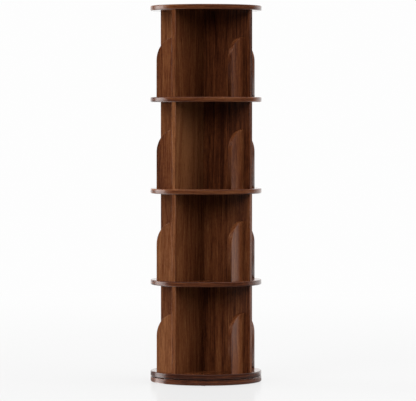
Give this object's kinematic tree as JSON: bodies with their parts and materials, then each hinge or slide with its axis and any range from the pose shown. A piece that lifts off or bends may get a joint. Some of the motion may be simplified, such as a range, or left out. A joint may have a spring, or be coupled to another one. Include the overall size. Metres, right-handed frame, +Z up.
{
  "type": "revolving bookcase",
  "caption": "Tall round revolving bookcase: stacked shelf discs with pinwheel uprights and low quarter-round end boards, turning on a fixed base disc.",
  "frame": {"origin": "on the floor, under the middle of the base disc", "axes": "+Z up along the axis that the tower turns about; the uprights stand along X and Y, and the picture looks at them from 33 degrees round from -Y towards +X"},
  "size_m": [0.3999, 0.4, 1.353],
  "materials": {
    "walnut": "satin lacquer",
    "plate_steel": "zinc",
    "screw_steel": "zinc",
    "ball_steel": "polished",
    "cage_nylon": "moulded",
    "pad_rubber": "matt"
  },
  "bodies": {
    "base": {"base_disc": "walnut", "base_pads": "pad_rubber", "turntable_lower_plate": "plate_steel", "lower_plate_screws": "screw_steel"},
    "tower": {"shelf_1": "walnut", "shelf_2": "walnut", "shelf_3": "walnut", "shelf_4": "walnut", "top_disc": "walnut", "tier_1_upright_a": "walnut", "tier_1_upright_b": "walnut", "tier_1_upright_c": "walnut", "tier_1_upright_d": "walnut", "tier_2_upright_a": "walnut", "tier_2_upright_b": "walnut", "tier_2_upright_c": "walnut", "tier_2_upright_d": "walnut", "tier_3_upright_a": "walnut", "tier_3_upright_b": "walnut", "tier_3_upright_c": "walnut", "tier_3_upright_d": "walnut", "tier_4_upright_a": "walnut", "tier_4_upright_b": "walnut", "tier_4_upright_c": "walnut", "tier_4_upright_d": "walnut", "tier_1_end_board_a": "walnut", "tier_1_end_board_b": "walnut", "tier_1_end_board_c": "walnut", "tier_1_end_board_d": "walnut", "tier_2_end_board_a": "walnut", "tier_2_end_board_b": "walnut", "tier_2_end_board_c": "walnut", "tier_2_end_board_d": "walnut", "tier_3_end_board_a": "walnut", "tier_3_end_board_b": "walnut", "tier_3_end_board_c": "walnut", "tier_3_end_board_d": "walnut", "tier_4_end_board_a": "walnut", "tier_4_end_board_b": "walnut", "tier_4_end_board_c": "walnut", "tier_4_end_board_d": "walnut", "turntable_upper_plate": "plate_steel", "upper_plate_screws": "screw_steel"},
    "cage": {"ball_cage": "cage_nylon", "bearing_balls": "ball_steel"}
  },
  "joints": [
    {"name": "tower_spin", "type": "hinge", "parent": "base", "child": "tower", "pos_m": [0, 0, 0.02], "axis": [0, 0, 1], "continuous": true},
    {"name": "cage_spin", "type": "hinge", "parent": "base", "child": "cage", "pos_m": [0, 0, 0.02], "axis": [0, 0, 1], "continuous": true}
  ],
  "couplings": [
    {"joint": "cage_spin", "follows": "tower_spin", "ratio": 0.5}
  ]
}
